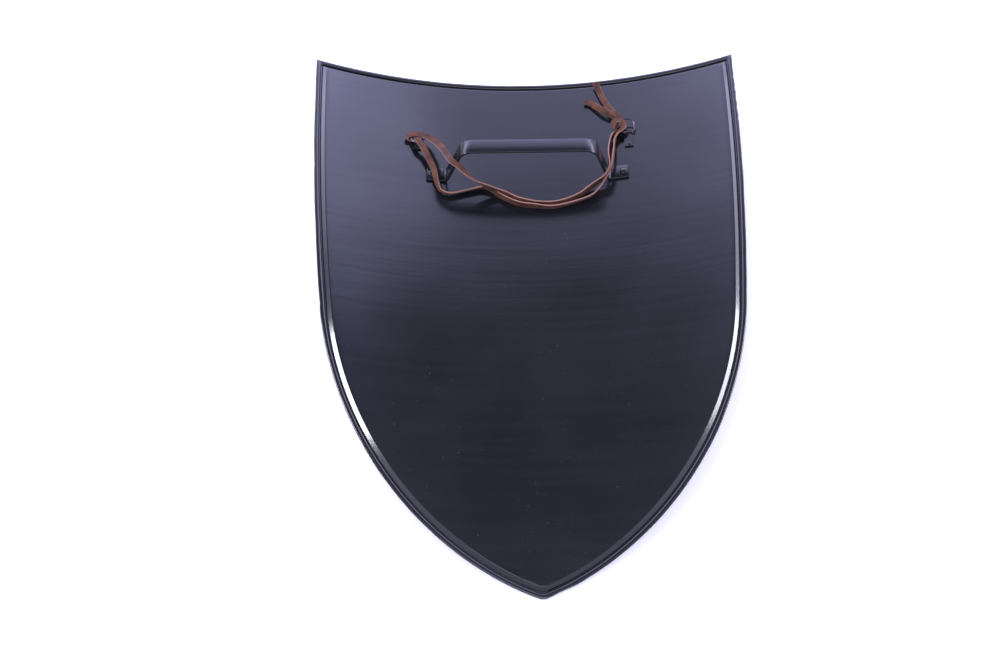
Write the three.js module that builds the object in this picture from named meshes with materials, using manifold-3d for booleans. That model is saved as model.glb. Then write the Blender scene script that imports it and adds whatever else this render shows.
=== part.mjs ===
// A heater shield lying on its convex front, with its back up.
//
// One curved steel plate with a stepped border and a rolled rim carries a bent strap handle and two
// riveted clips. Each clip holds a D-ring, and one leather thong is threaded through the left ring
// and tied by both its ends to the right one.
//
// Millimetres. +X runs across the width, +Y towards the top edge and +Z away from the ground.
// The origin is on the ground, under the middle of the shield's box.

import * as THREE from "three";
import { mergeVertices } from "three/addons/utils/BufferGeometryUtils.js";
import Module from "manifold-3d";

// Plate: its size, the radius it is bent to, and the two arcs of each side. HEIGHT is measured down
// to where the two sides would meet; the tip is cut off blunt, TIP_FLAT wide, just above that. The
// sides are then drawn in by TIP_DRAW at the tip, which fades upwards over about TIP_REACH.
const HEIGHT = 610;
const WIDTH = 457;
const BEND_RADIUS = 563.5;
const LOWER_RADIUS = 366;
const UPPER_RADIUS = 2800;
const SHEET = 1.2;
const TIP_FLAT = 16;
const TIP_DRAW = 5.5;
const TIP_REACH = 14;
const FLAT_SPOT = 30;

// Border: the roll at the edge, hammered a little flat, then a narrow flat band, then a slope up to
// the sunk-in field.
const ROLL_HALF_WIDTH = 2.7;
const ROLL_HALF_HEIGHT = 1.7;
const STEP_START = 6.6;
const STEP_RUN = 4.2;
const STEP_RISE = 4.5;
const FIELD_BACK = STEP_RISE + SHEET;

// How finely the plate is divided: along each arc of a side, across the width and round the roll.
const LOWER_PARTS = 16;
const UPPER_PARTS = 6;
const ACROSS_PARTS = 15;
const ROLL_PARTS = 8;

// Handle: one strap bent to a flat grip, two splayed legs and two feet.
const HANDLE_ALONG = 476;
const STRAP_WIDTH = 16.4;
const STRAP = 2.5;
const GRIP_TOP = 64;
const GRIP_HALF = 69;
const LEG_FOOT_HALF = 88;
const FOOT_END_HALF = 110;
const FOOT_BOW = 0.2;
const GRIP_BEND = 14;
const FOOT_BEND = 5;
const HANDLE_RIVET_ACROSS = 104.5;

// Clips and D-rings.
const CLIP_WIDTH = 9.3;
const CLIP_SHEET = 0.9;
const CLIP_LENGTH = 19;
const CLIP_RIVET_FROM_BAR = 15.8;
const WIRE_RADIUS = 0.9;
const RING_HALF = 7.3;
const RING_CORNER = 2.5;
const RING_SIDE = 7.4;
const BAR_LIFT = 8.6;
const LEFT_CLIP = { across: -121, along: 527, tiltDegrees: 165 };
const RIGHT_CLIP = { across: 113, along: 528.5, tiltDegrees: 20 };

// Rivets: shank, head and the head's height. GAP is the space left between pieces that touch.
const HANDLE_RIVET = { shank: 2.2, head: 3.8, dome: 1.3 };
const CLIP_RIVET = { shank: 1.3, head: 2.3, dome: 0.9 };
const GAP = 0.3;
const SEAT = 0.6;

// Thong: a plain round core along its middle line, as [across, along, lift] over the plate's front.
const THONG_CORE_RADIUS = 1;
const THONG_ROUTE = [
  [81, 600, 11.5], [85.5, 585, 10], [92, 567, 11], [99, 551, 17], [104.5, 543.5, 18.5],
  [109, 536.5, 15.5], [110.5, 533.5, 10.5], [106.5, 533.1, 7.4], [101, 530.5, 8.4], [95, 522, 11],
  [91, 505, 13], [90.5, 489, 20], [90.5, 470, 24.5], [86.5, 463.4, 22.5], [76.5, 460.5, 16],
  [66, 456, 11.5], [54, 448.5, 10], [26, 440, 10], [-8, 445.5, 10], [-24, 453, 11],
  [-41, 455, 18], [-52, 454, 26], [-63, 455, 33], [-72.5, 459, 39], [-80, 463.5, 42.5],
  [-87.5, 469.5, 42], [-92.5, 484, 35], [-97, 501, 24], [-105.5, 515.5, 17], [-113.5, 521.5, 14.5],
  [-121, 523, 14], [-128.5, 522, 13.8], [-132.4, 520.8, 10.6], [-129.6, 519.6, 7.9],
  [-126.4, 518.6, 9.2], [-122.8, 515.6, 14.2], [-118.6, 509.5, 16], [-113.5, 503, 14],
  [-108.5, 492, 13], [-103, 477, 13.2], [-99, 462, 11], [-95, 454, 10], [-86, 451, 10],
  [-73, 454.5, 10], [-60, 459, 10], [-48.5, 461.5, 10], [-39, 458, 10], [-31, 451.5, 10],
  [-10, 440.5, 10], [5, 437.8, 10], [26, 435.6, 10], [55.5, 442.5, 10], [70, 448.5, 10.5],
  [80.5, 458, 14], [87, 464.5, 19], [92, 473, 22], [95, 489, 18], [97, 505, 13.5], [98, 516, 12],
  [102, 524.5, 13], [108.5, 529.5, 15.5], [108, 535.5, 19.5], [101, 537, 19.5], [97, 533, 14.5],
  [99, 534.5, 9.5], [102.5, 540, 10.5], [100, 546.5, 12], [88, 558, 13], [80, 566, 11],
  [74, 573, 9.5], [67, 576, 9.5],
];

// Colours, roughness and metalness of the finishes.
const FINISHES = {
  black: { color: 0x2a2d36, roughness: 0.42, metalness: 0.2 },
  darkSteel: { color: 0x2e2e33, roughness: 0.35, metalness: 0.8 },
  leather: { color: 0x84584a, roughness: 0.8, metalness: 0 },
};

const wasm = await Module();
wasm.setup();

const radians = THREE.MathUtils.degToRad;
const flatAngle = FLAT_SPOT / 2 / BEND_RADIUS;
const halfWidth = BEND_RADIUS * Math.asin(WIDTH / 2 / BEND_RADIUS);

// Bends a point of the flat blank round the plate: across and along it, and lifted off its front.
// The lowest strip of the front, FLAT_SPOT wide, stays flat so that the shield doesn't rock.
function bend(across, along, lift) {
  const radius = BEND_RADIUS - lift;
  const rise = Math.cos(Math.max(Math.abs(across) / BEND_RADIUS, flatAngle));
  const x = radius * Math.sin(across / BEND_RADIUS);
  return new THREE.Vector3(x, along - mid, BEND_RADIUS * Math.cos(flatAngle) - radius * rise);
}

// The side's upper arc stands upright at the top edge. The lower arc touches it from inside and is
// aimed at (0, 0), where the sides would meet. Both centres follow from that.
const upperCentre = new THREE.Vector2(halfWidth - UPPER_RADIUS, HEIGHT);
const lowerCentre = touchingArcCentre(upperCentre, UPPER_RADIUS - LOWER_RADIUS, LOWER_RADIUS);
const joinAngle = lowerCentre.clone().sub(upperCentre).angle() - 2 * Math.PI;
const tipRise = lowerCentre.y - Math.sqrt(LOWER_RADIUS ** 2 - (TIP_FLAT / 2 - lowerCentre.x) ** 2);
const mid = (HEIGHT + tipRise) / 2;

function touchingArcCentre(centre, centreGap, radius) {
  const reach = centre.length();
  const base = (radius ** 2 + reach ** 2 - centreGap ** 2) / (2 * reach);
  const height = Math.sqrt(radius ** 2 - base ** 2);
  const toward = centre.clone().normalize();
  return new THREE.Vector2(toward.x * base + toward.y * height, toward.y * base - toward.x * height);
}

// Points of the right side of the outline, set in from the edge, from the blunt tip to the top corner.
function sidePoints(inset) {
  const lower = LOWER_RADIUS - inset;
  const upper = UPPER_RADIUS - inset;
  const tipAngle = Math.asin((tipRise + inset - lowerCentre.y) / lower);
  const topAngle = -Math.asin(inset / upper);
  const points = [];
  for (let i = 0; i < LOWER_PARTS; i++) {
    points.push(onArc(lowerCentre, lower, THREE.MathUtils.lerp(tipAngle, joinAngle, i / LOWER_PARTS)));
  }
  for (let i = 0; i <= UPPER_PARTS; i++) {
    points.push(onArc(upperCentre, upper, THREE.MathUtils.lerp(joinAngle, topAngle, i / UPPER_PARTS)));
  }
  for (const point of points) {
    point.x -= TIP_DRAW * Math.exp((tipRise - point.y) / TIP_REACH);
  }
  return points;
}

function onArc(centre, radius, angle) {
  return new THREE.Vector2(centre.x + radius * Math.cos(angle), centre.y + radius * Math.sin(angle));
}

// The whole outline set in from the edge: up the right side, back along the top, down the left side
// and across the tip.
function outline(inset) {
  const side = sidePoints(inset);
  const leftSide = side.map((point) => new THREE.Vector2(-point.x, point.y)).reverse();
  const top = pointsAcross(side[side.length - 1]);
  const tip = pointsAcross(leftSide[leftSide.length - 1]);
  return [...side, ...top, ...leftSide, ...tip];
}

// The points between an end of one side and the same end of the other.
function pointsAcross(end) {
  const points = [];
  for (let i = 1; i < ACROSS_PARTS; i++) {
    points.push(new THREE.Vector2(end.x * (1 - (2 * i) / ACROSS_PARTS), end.y));
  }
  return points;
}

// The border's section as [inset, lift], from the field's front edge round the roll to its back.
function borderSection() {
  const slope = Math.atan2(STEP_RISE, STEP_RUN);
  const shift = SHEET * Math.tan(slope / 2);
  const section = [
    [STEP_START + STEP_RUN + shift, STEP_RISE],
    [STEP_START + shift, 0],
  ];
  const lastAngle = Math.PI + Math.asin(1 - SHEET / ROLL_HALF_HEIGHT);
  for (let i = 0; i <= ROLL_PARTS; i++) {
    const angle = THREE.MathUtils.lerp(-Math.PI / 2, lastAngle, i / ROLL_PARTS);
    section.push([ROLL_HALF_WIDTH * (1 - Math.cos(angle)), ROLL_HALF_HEIGHT * (1 + Math.sin(angle))]);
  }
  section.push([STEP_START, SHEET], [STEP_START + STEP_RUN, FIELD_BACK]);
  return section;
}

// Rows of grid points that fill a field inside one inset outline, from the tip to the top edge.
function fieldRows(inset, lift) {
  return sidePoints(inset).map((point) => {
    const row = [];
    for (let i = 0; i <= ACROSS_PARTS; i++) {
      row.push(bend(point.x * (1 - (2 * i) / ACROSS_PARTS), point.y, lift));
    }
    return row;
  });
}

function addGrid(triangles, rows, backUp) {
  for (let j = 0; j + 1 < rows.length; j++) {
    for (let i = 0; i + 1 < rows[j].length; i++) {
      const [a, b, c, d] = [rows[j][i], rows[j + 1][i], rows[j + 1][i + 1], rows[j][i + 1]];
      addTriangle(triangles, backUp ? [a, b, c] : [a, c, b]);
      addTriangle(triangles, backUp ? [a, c, d] : [a, d, c]);
    }
  }
}

// Leaves out the triangles that close up to nothing at the tip.
function addTriangle(triangles, corners) {
  const area = new THREE.Triangle(...corners).getArea();
  if (area > 1e-6) {
    triangles.push(...corners);
  }
}

function plateGeometry() {
  const triangles = [];
  const section = borderSection();
  const loops = section.map(([inset, lift]) => outline(inset).map((p) => bend(p.x, p.y, lift)));
  for (let k = 0; k + 1 < loops.length; k++) {
    for (let i = 0; i < loops[k].length; i++) {
      const next = (i + 1) % loops[k].length;
      addTriangle(triangles, [loops[k][i], loops[k][next], loops[k + 1][next]]);
      addTriangle(triangles, [loops[k][i], loops[k + 1][next], loops[k + 1][i]]);
    }
  }
  const [frontInset, frontLift] = section[0];
  const [backInset, backLift] = section[section.length - 1];
  addGrid(triangles, fieldRows(frontInset, frontLift), false);
  addGrid(triangles, fieldRows(backInset, backLift), true);
  return new THREE.BufferGeometry().setFromPoints(triangles);
}

// Closed solids for cutting, and back to a geometry.
function toSolid(geometry) {
  const bare = geometry.clone();
  bare.deleteAttribute("normal");
  bare.deleteAttribute("uv");
  const merged = mergeVertices(bare, 1e-4);
  const triVerts = Uint32Array.from(merged.index.array);
  const vertProperties = Float32Array.from(merged.attributes.position.array);
  return new wasm.Manifold(new wasm.Mesh({ numProp: 3, vertProperties, triVerts }));
}

function toGeometry(solid) {
  const { vertProperties, triVerts } = solid.getMesh();
  const geometry = new THREE.BufferGeometry();
  geometry.setAttribute("position", new THREE.BufferAttribute(Float32Array.from(vertProperties), 3));
  geometry.setIndex(new THREE.BufferAttribute(Uint32Array.from(triVerts), 1));
  return geometry;
}

function cut(geometry, cutters) {
  const solid = cutters.reduce((body, cutter) => body.subtract(toSolid(cutter)), toSolid(geometry));
  return toGeometry(solid);
}

// A frame on the plate: its X runs across, its Y along and its Z away from the plate's back.
function plateFrame(across, along, lift) {
  const matrix = new THREE.Matrix4().makeRotationY(-across / BEND_RADIUS);
  return matrix.setPosition(bend(across, along, lift));
}

// A straight hole through whatever lies at a place on the plate.
function rivetHole(across, along, shank) {
  const depth = 30;
  const hole = new THREE.CylinderGeometry(shank + GAP, shank + GAP, depth, 12);
  hole.rotateX(Math.PI / 2);
  return hole.applyMatrix4(plateFrame(across, along, FIELD_BACK));
}

// One rivet at each foot of the handle and one through each clip.
const rivetPlaces = [-1, 1].map((side) => ({
  name: side < 0 ? "handle_rivet_left" : "handle_rivet_right",
  across: side * HANDLE_RIVET_ACROSS,
  along: HANDLE_ALONG,
  size: HANDLE_RIVET,
  grip: STRAP + FOOT_BOW,
}));
for (const [name, place] of [["clip_rivet_left", LEFT_CLIP], ["clip_rivet_right", RIGHT_CLIP]]) {
  const along = place.along - CLIP_RIVET_FROM_BAR;
  rivetPlaces.push({ name, across: place.across, along, size: CLIP_RIVET, grip: 2 * CLIP_SHEET });
}

function shieldPlate() {
  const holes = rivetPlaces.map(({ across, along, size }) => rivetHole(across, along, size.shank));
  return cut(plateGeometry(), holes);
}

// A rivet from its front head, through the plate and the piece it holds, to its domed back head.
function rivet({ size, grip }) {
  const domeSteps = 3;
  const front = -SHEET - GAP;
  const back = SEAT + grip + GAP;
  const profile = [];
  for (let i = 0; i <= domeSteps; i++) {
    const angle = (Math.PI / 2) * (i / domeSteps);
    profile.push(new THREE.Vector2(size.head * Math.sin(angle), front - size.dome * Math.cos(angle)));
  }
  profile.push(new THREE.Vector2(size.shank, front), new THREE.Vector2(size.shank, back));
  for (let i = domeSteps; i >= 0; i--) {
    const angle = (Math.PI / 2) * (i / domeSteps);
    profile.push(new THREE.Vector2(size.head * Math.sin(angle), back + size.dome * Math.cos(angle)));
  }
  profile[0].x = 0;
  return new THREE.LatheGeometry(profile, 12).rotateX(Math.PI / 2);
}

// Rounds the corners of an open line: each corner is { at: Vector2, radius }.
function roundedLine(corners, partsPerBend) {
  const points = [corners[0].at];
  for (let i = 1; i + 1 < corners.length; i++) {
    const { at, radius } = corners[i];
    const back = corners[i - 1].at.clone().sub(at).normalize();
    const onward = corners[i + 1].at.clone().sub(at).normalize();
    const half = Math.acos(back.dot(onward)) / 2;
    const centre = back.clone().add(onward).normalize().multiplyScalar(radius / Math.sin(half)).add(at);
    const start = back.multiplyScalar(radius / Math.tan(half)).add(at).sub(centre);
    const end = onward.multiplyScalar(radius / Math.tan(half)).add(at).sub(centre);
    const turn = Math.atan2(start.cross(end), start.dot(end));
    for (let k = 0; k <= partsPerBend; k++) {
      const spoke = start.clone().rotateAround(new THREE.Vector2(), (turn * k) / partsPerBend);
      points.push(spoke.add(centre));
    }
  }
  points.push(corners[corners.length - 1].at);
  return points;
}

// Gives a line a thickness: half of it on each side.
function thicken(line, thickness) {
  const normals = line.map((point, i) => {
    const ahead = line[Math.min(i + 1, line.length - 1)];
    const behind = line[Math.max(i - 1, 0)];
    const along = ahead.clone().sub(behind).normalize();
    return new THREE.Vector2(-along.y, along.x);
  });
  const left = line.map((point, i) => normals[i].clone().multiplyScalar(thickness / 2).add(point));
  const right = line.map((point, i) => normals[i].clone().multiplyScalar(-thickness / 2).add(point));
  return new THREE.Shape([...left, ...right.reverse()]);
}

function extrudeCentred(shape, width, curveSegments = 4) {
  const geometry = new THREE.ExtrudeGeometry(shape, { depth: width, bevelEnabled: false, curveSegments });
  return geometry.translate(0, 0, -width / 2);
}

// The strap's middle line seen from the tip, from one foot's end over the grip to the other's.
function handleLine() {
  const seat = FIELD_BACK + SEAT + STRAP / 2;
  const onPlate = (across) => {
    const place = bend(across, HANDLE_ALONG, seat);
    return new THREE.Vector2(place.x, place.z);
  };
  const gripLevel = GRIP_TOP - STRAP / 2;
  const mirrored = (point) => new THREE.Vector2(-point.x, point.y);
  const end = onPlate(FOOT_END_HALF);
  const heel = onPlate(LEG_FOOT_HALF);
  const shoulder = new THREE.Vector2(GRIP_HALF, gripLevel);
  return roundedLine([
    { at: mirrored(end) },
    { at: mirrored(heel), radius: FOOT_BEND },
    { at: mirrored(shoulder), radius: GRIP_BEND },
    { at: shoulder, radius: GRIP_BEND },
    { at: heel, radius: FOOT_BEND },
    { at: end },
  ], 5);
}

function handle() {
  const strap = extrudeCentred(thicken(handleLine(), STRAP), STRAP_WIDTH);
  strap.rotateX(Math.PI / 2).translate(0, HANDLE_ALONG - mid, 0);
  const holes = [-HANDLE_RIVET_ACROSS, HANDLE_RIVET_ACROSS].map((across) => {
    return rivetHole(across, HANDLE_ALONG, HANDLE_RIVET.shank);
  });
  return cut(strap, holes);
}

// A clip is a strip folded round the ring's bar: two flat leaves and a roll with a hole through it.
// It is drawn in a section whose X runs away from the bar and whose Y is the lift off the plate.
function clip() {
  const bore = WIRE_RADIUS + 0.5;
  const outer = bore + CLIP_SHEET;
  const leaf = 2 * CLIP_SHEET;
  const meet = Math.asin((outer - leaf) / outer);
  const shape = new THREE.Shape();
  shape.moveTo(CLIP_LENGTH, 0);
  shape.lineTo(CLIP_LENGTH, leaf);
  shape.lineTo(outer * Math.cos(meet), leaf);
  shape.absarc(0, outer, outer, -meet, 1.5 * Math.PI, false);
  shape.closePath();
  const hole = new THREE.Path();
  hole.absarc(0, outer, bore, 0, 2 * Math.PI, true);
  shape.holes.push(hole);
  const strip = extrudeCentred(shape, CLIP_WIDTH, 14);
  return strip.applyMatrix4(new THREE.Matrix4().makeBasis(
    new THREE.Vector3(0, -1, 0), new THREE.Vector3(0, 0, 1), new THREE.Vector3(-1, 0, 0)));
}

function placedClip({ across, along }) {
  const seated = clip().applyMatrix4(plateFrame(across, along, FIELD_BACK + SEAT));
  return cut(seated, [rivetHole(across, along - CLIP_RIVET_FROM_BAR, CLIP_RIVET.shank)]);
}

// A D-ring's middle line in its own plane: a straight bar along X at Y = 0, then the bow.
function ringLine() {
  const line = roundedLine([
    { at: new THREE.Vector2(0, 0) },
    { at: new THREE.Vector2(RING_HALF, 0), radius: RING_CORNER },
    { at: new THREE.Vector2(RING_HALF, RING_SIDE) },
  ], 3);
  const bowParts = 10;
  for (let i = 1; i <= bowParts; i++) {
    line.push(onArc(new THREE.Vector2(0, RING_SIDE), RING_HALF, (Math.PI * i) / bowParts));
  }
  const leftCorner = line.slice(1, 5).reverse().map((point) => new THREE.Vector2(-point.x, point.y));
  return [...line, ...leftCorner];
}

// A round wire along a closed flat line.
function closedWire(line, radius, sides) {
  const rings = line.map((point, i) => {
    const ahead = line[(i + 1) % line.length];
    const behind = line[(i + line.length - 1) % line.length];
    const along = ahead.clone().sub(behind).normalize();
    return Array.from({ length: sides }, (_, k) => {
      const angle = (2 * Math.PI * k) / sides;
      const out = radius * Math.cos(angle);
      return new THREE.Vector3(point.x + along.y * out, point.y - along.x * out, radius * Math.sin(angle));
    });
  });
  const corners = [];
  for (let i = 0; i < rings.length; i++) {
    const next = rings[(i + 1) % rings.length];
    for (let k = 0; k < sides; k++) {
      const turn = (k + 1) % sides;
      corners.push(rings[i][k], next[k], next[turn], rings[i][k], next[turn], rings[i][turn]);
    }
  }
  return new THREE.BufferGeometry().setFromPoints(corners);
}

function placedRing({ across, along, tiltDegrees }) {
  const ring = closedWire(ringLine(), WIRE_RADIUS, 8);
  ring.rotateX(radians(tiltDegrees));
  return ring.applyMatrix4(plateFrame(across, along, BAR_LIFT));
}

// The thong's route, with one section at each of its points.
class ThongRoute extends THREE.CatmullRomCurve3 {
  getUtoTmapping(fraction) {
    return fraction;
  }
}

function leatherThong() {
  const route = new ThongRoute(THONG_ROUTE.map((point) => bend(...point)), false, "centripetal");
  const section = new THREE.Shape();
  section.absarc(0, 0, THONG_CORE_RADIUS, 0, 2 * Math.PI);
  return new THREE.ExtrudeGeometry(section, {
    steps: THONG_ROUTE.length - 1,
    curveSegments: 4,
    extrudePath: route,
  });
}

function named(name, geometry, finish) {
  const mesh = new THREE.Mesh(geometry, new THREE.MeshStandardMaterial(FINISHES[finish]));
  mesh.name = name;
  return mesh;
}

const shield = new THREE.Group();
shield.add(named("shield_plate", shieldPlate(), "black"));
shield.add(named("handle", handle(), "black"));
shield.add(named("ring_clip_left", placedClip(LEFT_CLIP), "black"));
shield.add(named("ring_clip_right", placedClip(RIGHT_CLIP), "black"));
shield.add(named("d_ring_left", placedRing(LEFT_CLIP), "darkSteel"));
shield.add(named("d_ring_right", placedRing(RIGHT_CLIP), "darkSteel"));
for (const place of rivetPlaces) {
  const seated = rivet(place).applyMatrix4(plateFrame(place.across, place.along, FIELD_BACK));
  shield.add(named(place.name, seated, "black"));
}
shield.add(named("leather_thong", leatherThong(), "leather"));

export default shield;
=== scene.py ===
# %% [markdown]
# # A heater shield, lying on its front with its back up
#
# The shield is one curved steel plate in satin black paint, with a strap handle, two D-rings in
# riveted clips and one leather thong tied between the rings. The solids of the frame give every
# size and place. Here each piece is worked out again as a finer surface and gets its finish.
#
# Metres. +X runs across the width, +Y towards the top edge and +Z away from the ground.

import bmesh
import bpy
import numpy as np
from mathutils import Euler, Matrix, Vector


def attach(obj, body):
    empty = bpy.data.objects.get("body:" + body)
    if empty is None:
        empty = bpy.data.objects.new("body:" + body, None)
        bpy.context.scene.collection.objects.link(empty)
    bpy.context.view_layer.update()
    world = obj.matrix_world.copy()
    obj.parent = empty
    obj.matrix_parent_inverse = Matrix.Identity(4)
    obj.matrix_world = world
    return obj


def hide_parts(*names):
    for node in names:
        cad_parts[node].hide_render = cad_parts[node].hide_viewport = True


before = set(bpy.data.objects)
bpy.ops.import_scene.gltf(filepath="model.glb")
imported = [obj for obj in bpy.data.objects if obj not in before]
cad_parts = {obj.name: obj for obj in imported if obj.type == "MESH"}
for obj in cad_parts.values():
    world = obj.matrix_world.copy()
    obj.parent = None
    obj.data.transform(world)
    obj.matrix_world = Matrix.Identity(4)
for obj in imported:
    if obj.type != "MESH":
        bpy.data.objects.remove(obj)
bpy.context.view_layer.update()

# %% [markdown]
# ## The camera
#
# The camera stands on the tip's side and looks down on the back of the shield. A moderately long
# lens keeps the far top edge and the near tip in a natural proportion.

# %% Camera
LENS_MM = 51.16
SENSOR_MM = 36
CAMERA_PLACE = (-0.0549, -0.7569, 1.2351)
CAMERA_TURN_DEG = (30.818, -0.282, -1.192)

scene = bpy.context.scene
camera = bpy.data.objects.new("camera", bpy.data.cameras.new("camera"))
scene.collection.objects.link(camera)
camera.data.lens = LENS_MM
camera.data.sensor_width = SENSOR_MM
camera.location = CAMERA_PLACE
camera.rotation_euler = Euler(np.radians(CAMERA_TURN_DEG), "XYZ")
scene.camera = camera
print("camera at", [round(v, 3) for v in camera.location])

# %% [markdown]
# ## Driving dimensions
#
# The plate starts as a flat blank, so places on it are easiest to give on the blank: how far
# across it, how far along it from the tip, and how far lifted off its front. One function bends
# such places round to the shared frame, and every piece below goes through it.

# %% Driving dimensions of the plate
MM = 0.001
HEIGHT = 610 * MM
WIDTH = 457 * MM
BEND_RADIUS = 563.5 * MM
LOWER_RADIUS = 366 * MM
UPPER_RADIUS = 2800 * MM
SHEET = 1.2 * MM
TIP_FLAT = 16 * MM
TIP_DRAW = 5.5 * MM
TIP_REACH = 14 * MM
FLAT_SPOT = 30 * MM
ROLL_HALF_WIDTH = 2.7 * MM
ROLL_HALF_HEIGHT = 1.7 * MM
STEP_START = 6.6 * MM
STEP_RUN = 4.2 * MM
STEP_RISE = 4.5 * MM
FIELD_BACK = STEP_RISE + SHEET

flat_angle = FLAT_SPOT / 2 / BEND_RADIUS
half_width = BEND_RADIUS * np.arcsin(WIDTH / 2 / BEND_RADIUS)
upper_centre = np.array([half_width - UPPER_RADIUS, HEIGHT])


def touching_arc_centre(centre, centre_gap, radius):
    """The centre of an arc through (0, 0) that touches another arc from inside: the point at that
    radius from the origin and at centre_gap from the other arc's centre."""
    reach = np.hypot(*centre)
    base = (radius**2 + reach**2 - centre_gap**2) / (2 * reach)
    height = np.sqrt(radius**2 - base**2)
    toward = centre / reach
    return np.array([toward[0] * base + toward[1] * height, toward[1] * base - toward[0] * height])


lower_centre = touching_arc_centre(upper_centre, UPPER_RADIUS - LOWER_RADIUS, LOWER_RADIUS)
join_angle = np.arctan2(*(lower_centre - upper_centre)[::-1])
tip_rise = lower_centre[1] - np.sqrt(LOWER_RADIUS**2 - (TIP_FLAT / 2 - lower_centre[0]) ** 2)
middle = (HEIGHT + tip_rise) / 2
print("blunt tip starts", round(tip_rise / MM, 2), "mm above where the sides would meet")


def bend(across, along, lift):
    """A place on the blank to the shared frame: across becomes an angle about the bending axis, and
    lift shortens the radius. The lowest strip of the front stays flat."""
    across, along, lift = np.broadcast_arrays(across, along, lift)
    angle = across / BEND_RADIUS
    radius = BEND_RADIUS - lift
    rise = np.cos(np.maximum(np.abs(angle), flat_angle))
    z = BEND_RADIUS * np.cos(flat_angle) - radius * rise
    return np.stack([radius * np.sin(angle), along - middle, z], axis=-1)


def plate_axes(across):
    """Across, along and away-from-the-plate directions at a place on the bent plate."""
    angle = across / BEND_RADIUS
    across_way = np.array([np.cos(angle), 0, np.sin(angle)])
    away = np.array([-np.sin(angle), 0, np.cos(angle)])
    return np.stack([across_way, np.array([0, 1, 0]), away])


# %% [markdown]
# ## Making meshes from arrays
#
# Each surface below is a grid of points, made as whole arrays. The first helpers turn a grid into
# quads, close its ends, put it in a mesh and weld its seams. The others make smooth paths and the
# soft random relief that keeps hand-made metal and leather from looking perfect.

# %% Mesh helpers
SHARP_ANGLE = np.radians(40)
CUBIC_CM = 1e-6


def grid_quads(rows, columns, wrap=False, start=0):
    """Quads between neighbouring rows of a grid; wrap joins the last column to the first."""
    i, j = np.meshgrid(np.arange(rows - 1), np.arange(columns if wrap else columns - 1), indexing="ij")
    k = (j + 1) % columns
    here, below = i * columns, (i + 1) * columns
    return start + np.stack([here + j, here + k, below + k, below + j], -1).reshape(-1, 4)


def closed_ends(rows, columns, stride=None):
    """The two end faces of a swept outline. The stride is the grid's row length, where that is more."""
    last = (rows - 1) * (stride or columns)
    return [list(range(columns))[::-1], [last + k for k in range(columns)]]


def swept(path, sideways, upward, outline_points, scale=None):
    """A closed outline carried along a path: its first number goes sideways, its second upward."""
    scale = np.ones((len(path), 2)) if scale is None else scale
    return (
        path[:, None]
        + (scale[:, :1] * outline_points[None, :, 0])[..., None] * sideways[:, None]
        + (scale[:, 1:] * outline_points[None, :, 1])[..., None] * upward[:, None]
    )


def make_piece(name, points, faces, replaces, uv=None):
    """A smooth-shaded mesh piece that rides on the root body and stands for its CAD nodes."""
    mesh = bpy.data.meshes.new(name)
    mesh.from_pydata(np.asarray(points).tolist(), [], [list(map(int, f)) for f in faces])
    mesh.shade_smooth()
    if uv is not None:
        layer = mesh.uv_layers.new(name="UVMap")
        loops = np.zeros(len(mesh.loops), np.int32)
        mesh.loops.foreach_get("vertex_index", loops)
        layer.data.foreach_set("uv", np.asarray(uv, np.float32)[loops].ravel())
    piece = bpy.data.objects.new(name, mesh)
    scene.collection.objects.link(piece)
    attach(piece, "root")
    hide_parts(*replaces)
    triangles = sum(len(p.vertices) - 2 for p in mesh.polygons)
    print(name, len(mesh.vertices), "points", triangles, "triangles")
    return piece


def weld(piece, distance=0.002 * MM):
    """Joins points that lie on each other, drops the faces that close up to nothing, turns every
    normal outwards, and keeps real corners crisp by marking them sharp."""
    body = bmesh.new()
    body.from_mesh(piece.data)
    bmesh.ops.remove_doubles(body, verts=body.verts, dist=distance)
    bmesh.ops.dissolve_degenerate(body, edges=body.edges, dist=distance)
    bmesh.ops.recalc_face_normals(body, faces=body.faces)
    open_edges = sum(1 for edge in body.edges if len(edge.link_faces) != 2)
    volume = body.calc_volume() / CUBIC_CM
    print(piece.name, "welded;", open_edges, "open edges; volume", round(volume, 2), "cm3")
    body.to_mesh(piece.data)
    body.free()
    piece.data.set_sharp_from_angle(angle=SHARP_ANGLE)


def unit(vectors):
    """Each vector divided by its own length."""
    return vectors / np.maximum(np.linalg.norm(vectors, axis=-1, keepdims=True), 1e-12)


def path_tangents(path, closed=False):
    """Unit directions along a path, by differences between each point's neighbours."""
    if closed:
        return unit(np.roll(path, -1, 0) - np.roll(path, 1, 0))
    return unit(np.gradient(path, axis=0))


def smooth_path(points, per_gap):
    """A centripetal Catmull-Rom curve through points: each gap's four neighbours give a cubic whose
    knots are spaced by the square root of their distance, as in Barry and Goldman's pyramid."""
    p = np.vstack([2 * points[0] - points[1], points, 2 * points[-1] - points[-2]])
    p0, p1, p2, p3 = p[:-3], p[1:-2], p[2:-1], p[3:]
    t1 = np.sqrt(np.linalg.norm(p1 - p0, axis=1))[:, None, None]
    t2 = t1 + np.sqrt(np.linalg.norm(p2 - p1, axis=1))[:, None, None]
    t3 = t2 + np.sqrt(np.linalg.norm(p3 - p2, axis=1))[:, None, None]
    t = t1 + (t2 - t1) * (np.arange(per_gap) / per_gap)[None, :, None]
    p0, p1, p2, p3 = (q[:, None, :] for q in (p0, p1, p2, p3))
    a1 = p0 + (p1 - p0) * t / t1
    a2 = p1 + (p2 - p1) * (t - t1) / (t2 - t1)
    a3 = p2 + (p3 - p2) * (t - t2) / (t3 - t2)
    b1 = a1 + (a2 - a1) * t / t2
    b2 = a2 + (a3 - a2) * (t - t1) / (t3 - t1)
    curve = b1 + (b2 - b1) * (t - t1) / (t2 - t1)
    return np.vstack([curve.reshape(-1, 3), points[-1]])


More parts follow.
